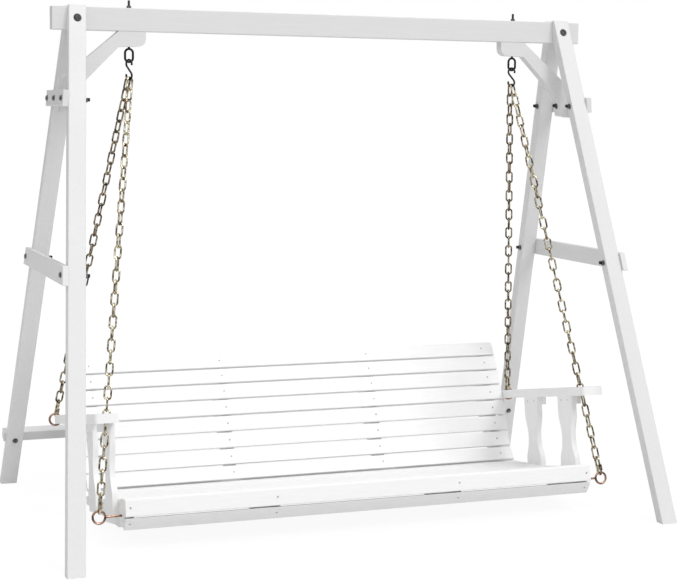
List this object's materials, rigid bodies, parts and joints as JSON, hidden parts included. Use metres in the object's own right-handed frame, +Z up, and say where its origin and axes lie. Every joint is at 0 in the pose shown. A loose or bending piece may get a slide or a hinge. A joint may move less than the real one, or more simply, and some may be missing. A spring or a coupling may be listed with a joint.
{
  "type": "garden swing bench with stand",
  "caption": "White slatted two-armed bench hung on chains from a timber A-frame stand, swinging about the hooks under its top beam.",
  "frame": {"origin": "on the ground under the middle of the beam", "axes": "+X along the beam to the sitter's left, +Y to the back of the bench, +Z up"},
  "size_m": [2.2102, 1.3858, 1.837],
  "materials": {
    "stand_paint": "white painted timber, light grain",
    "bench_paint": "bright white painted timber",
    "dark_steel": "black steel",
    "zinc_steel": "yellow passivated zinc",
    "copper_plate": "copper coloured wire",
    "screw_steel": "zinc plated screw heads"
  },
  "bodies": {
    "stand": {"collar_left": "stand_paint", "collar_right": "stand_paint", "eye_bolt_left": "dark_steel", "eye_bolt_right": "dark_steel", "frame_bolts": "dark_steel", "frame_nuts": "dark_steel", "frame_washers": "dark_steel", "knee_brace_left": "stand_paint", "knee_brace_right": "stand_paint", "leg_left_front": "stand_paint", "leg_left_rear": "stand_paint", "leg_right_front": "stand_paint", "leg_right_rear": "stand_paint", "mid_brace_left": "stand_paint", "mid_brace_right": "stand_paint", "rear_stretcher": "stand_paint", "top_beam": "stand_paint"},
    "bench": {"apron_slat_1": "bench_paint", "apron_slat_2": "bench_paint", "arm_cleats": "bench_paint", "armrest_left": "bench_paint", "armrest_right": "bench_paint", "back_post_left": "bench_paint", "back_post_right": "bench_paint", "back_posts_middle": "bench_paint", "back_slat_1": "bench_paint", "back_slat_2": "bench_paint", "back_slat_3": "bench_paint", "back_slat_4": "bench_paint", "back_slat_5": "bench_paint", "back_slat_6": "bench_paint", "back_slat_7": "bench_paint", "back_slat_8": "bench_paint", "balusters_left": "bench_paint", "balusters_right": "bench_paint", "chain_left_front": "zinc_steel", "chain_left_rear": "zinc_steel", "chain_right_front": "zinc_steel", "chain_right_rear": "zinc_steel", "quick_links": "zinc_steel", "s_hooks": "dark_steel", "seat_eyes": "copper_plate", "seat_rail_left": "bench_paint", "seat_rail_right": "bench_paint", "seat_rails_middle": "bench_paint", "seat_slat_1": "bench_paint", "seat_slat_2": "bench_paint", "seat_slat_3": "bench_paint", "seat_slat_4": "bench_paint", "seat_slat_5": "bench_paint", "seat_slat_6": "bench_paint", "seat_slat_7": "bench_paint", "seat_slat_8": "bench_paint", "seat_slat_9": "bench_paint", "slat_screws": "screw_steel"},
    "sleeve_left_front": {"link_sleeve_left_front": "zinc_steel"},
    "sleeve_left_rear": {"link_sleeve_left_rear": "zinc_steel"},
    "sleeve_right_front": {"link_sleeve_right_front": "zinc_steel"},
    "sleeve_right_rear": {"link_sleeve_right_rear": "zinc_steel"}
  },
  "joints": [
    {"name": "swing_hinge", "type": "hinge", "parent": "stand", "child": "bench", "pos_m": [0, 0, 1.625], "axis": [1, 0, 0], "range_deg": [-12, 12]},
    {"name": "sleeve_left_front_slide", "type": "slide", "parent": "bench", "child": "sleeve_left_front", "axis": [0.1347, 0.2707, 0.9532], "range_m": [0, 0.017]},
    {"name": "sleeve_left_rear_slide", "type": "slide", "parent": "bench", "child": "sleeve_left_rear", "axis": [0.1496, -0.2758, 0.9495], "range_m": [0, 0.017]},
    {"name": "sleeve_right_front_slide", "type": "slide", "parent": "bench", "child": "sleeve_right_front", "axis": [-0.1314, 0.2709, 0.9536], "range_m": [0, 0.017]},
    {"name": "sleeve_right_rear_slide", "type": "slide", "parent": "bench", "child": "sleeve_right_rear", "axis": [-0.1533, -0.2757, 0.9489], "range_m": [0, 0.017]}
  ]
}
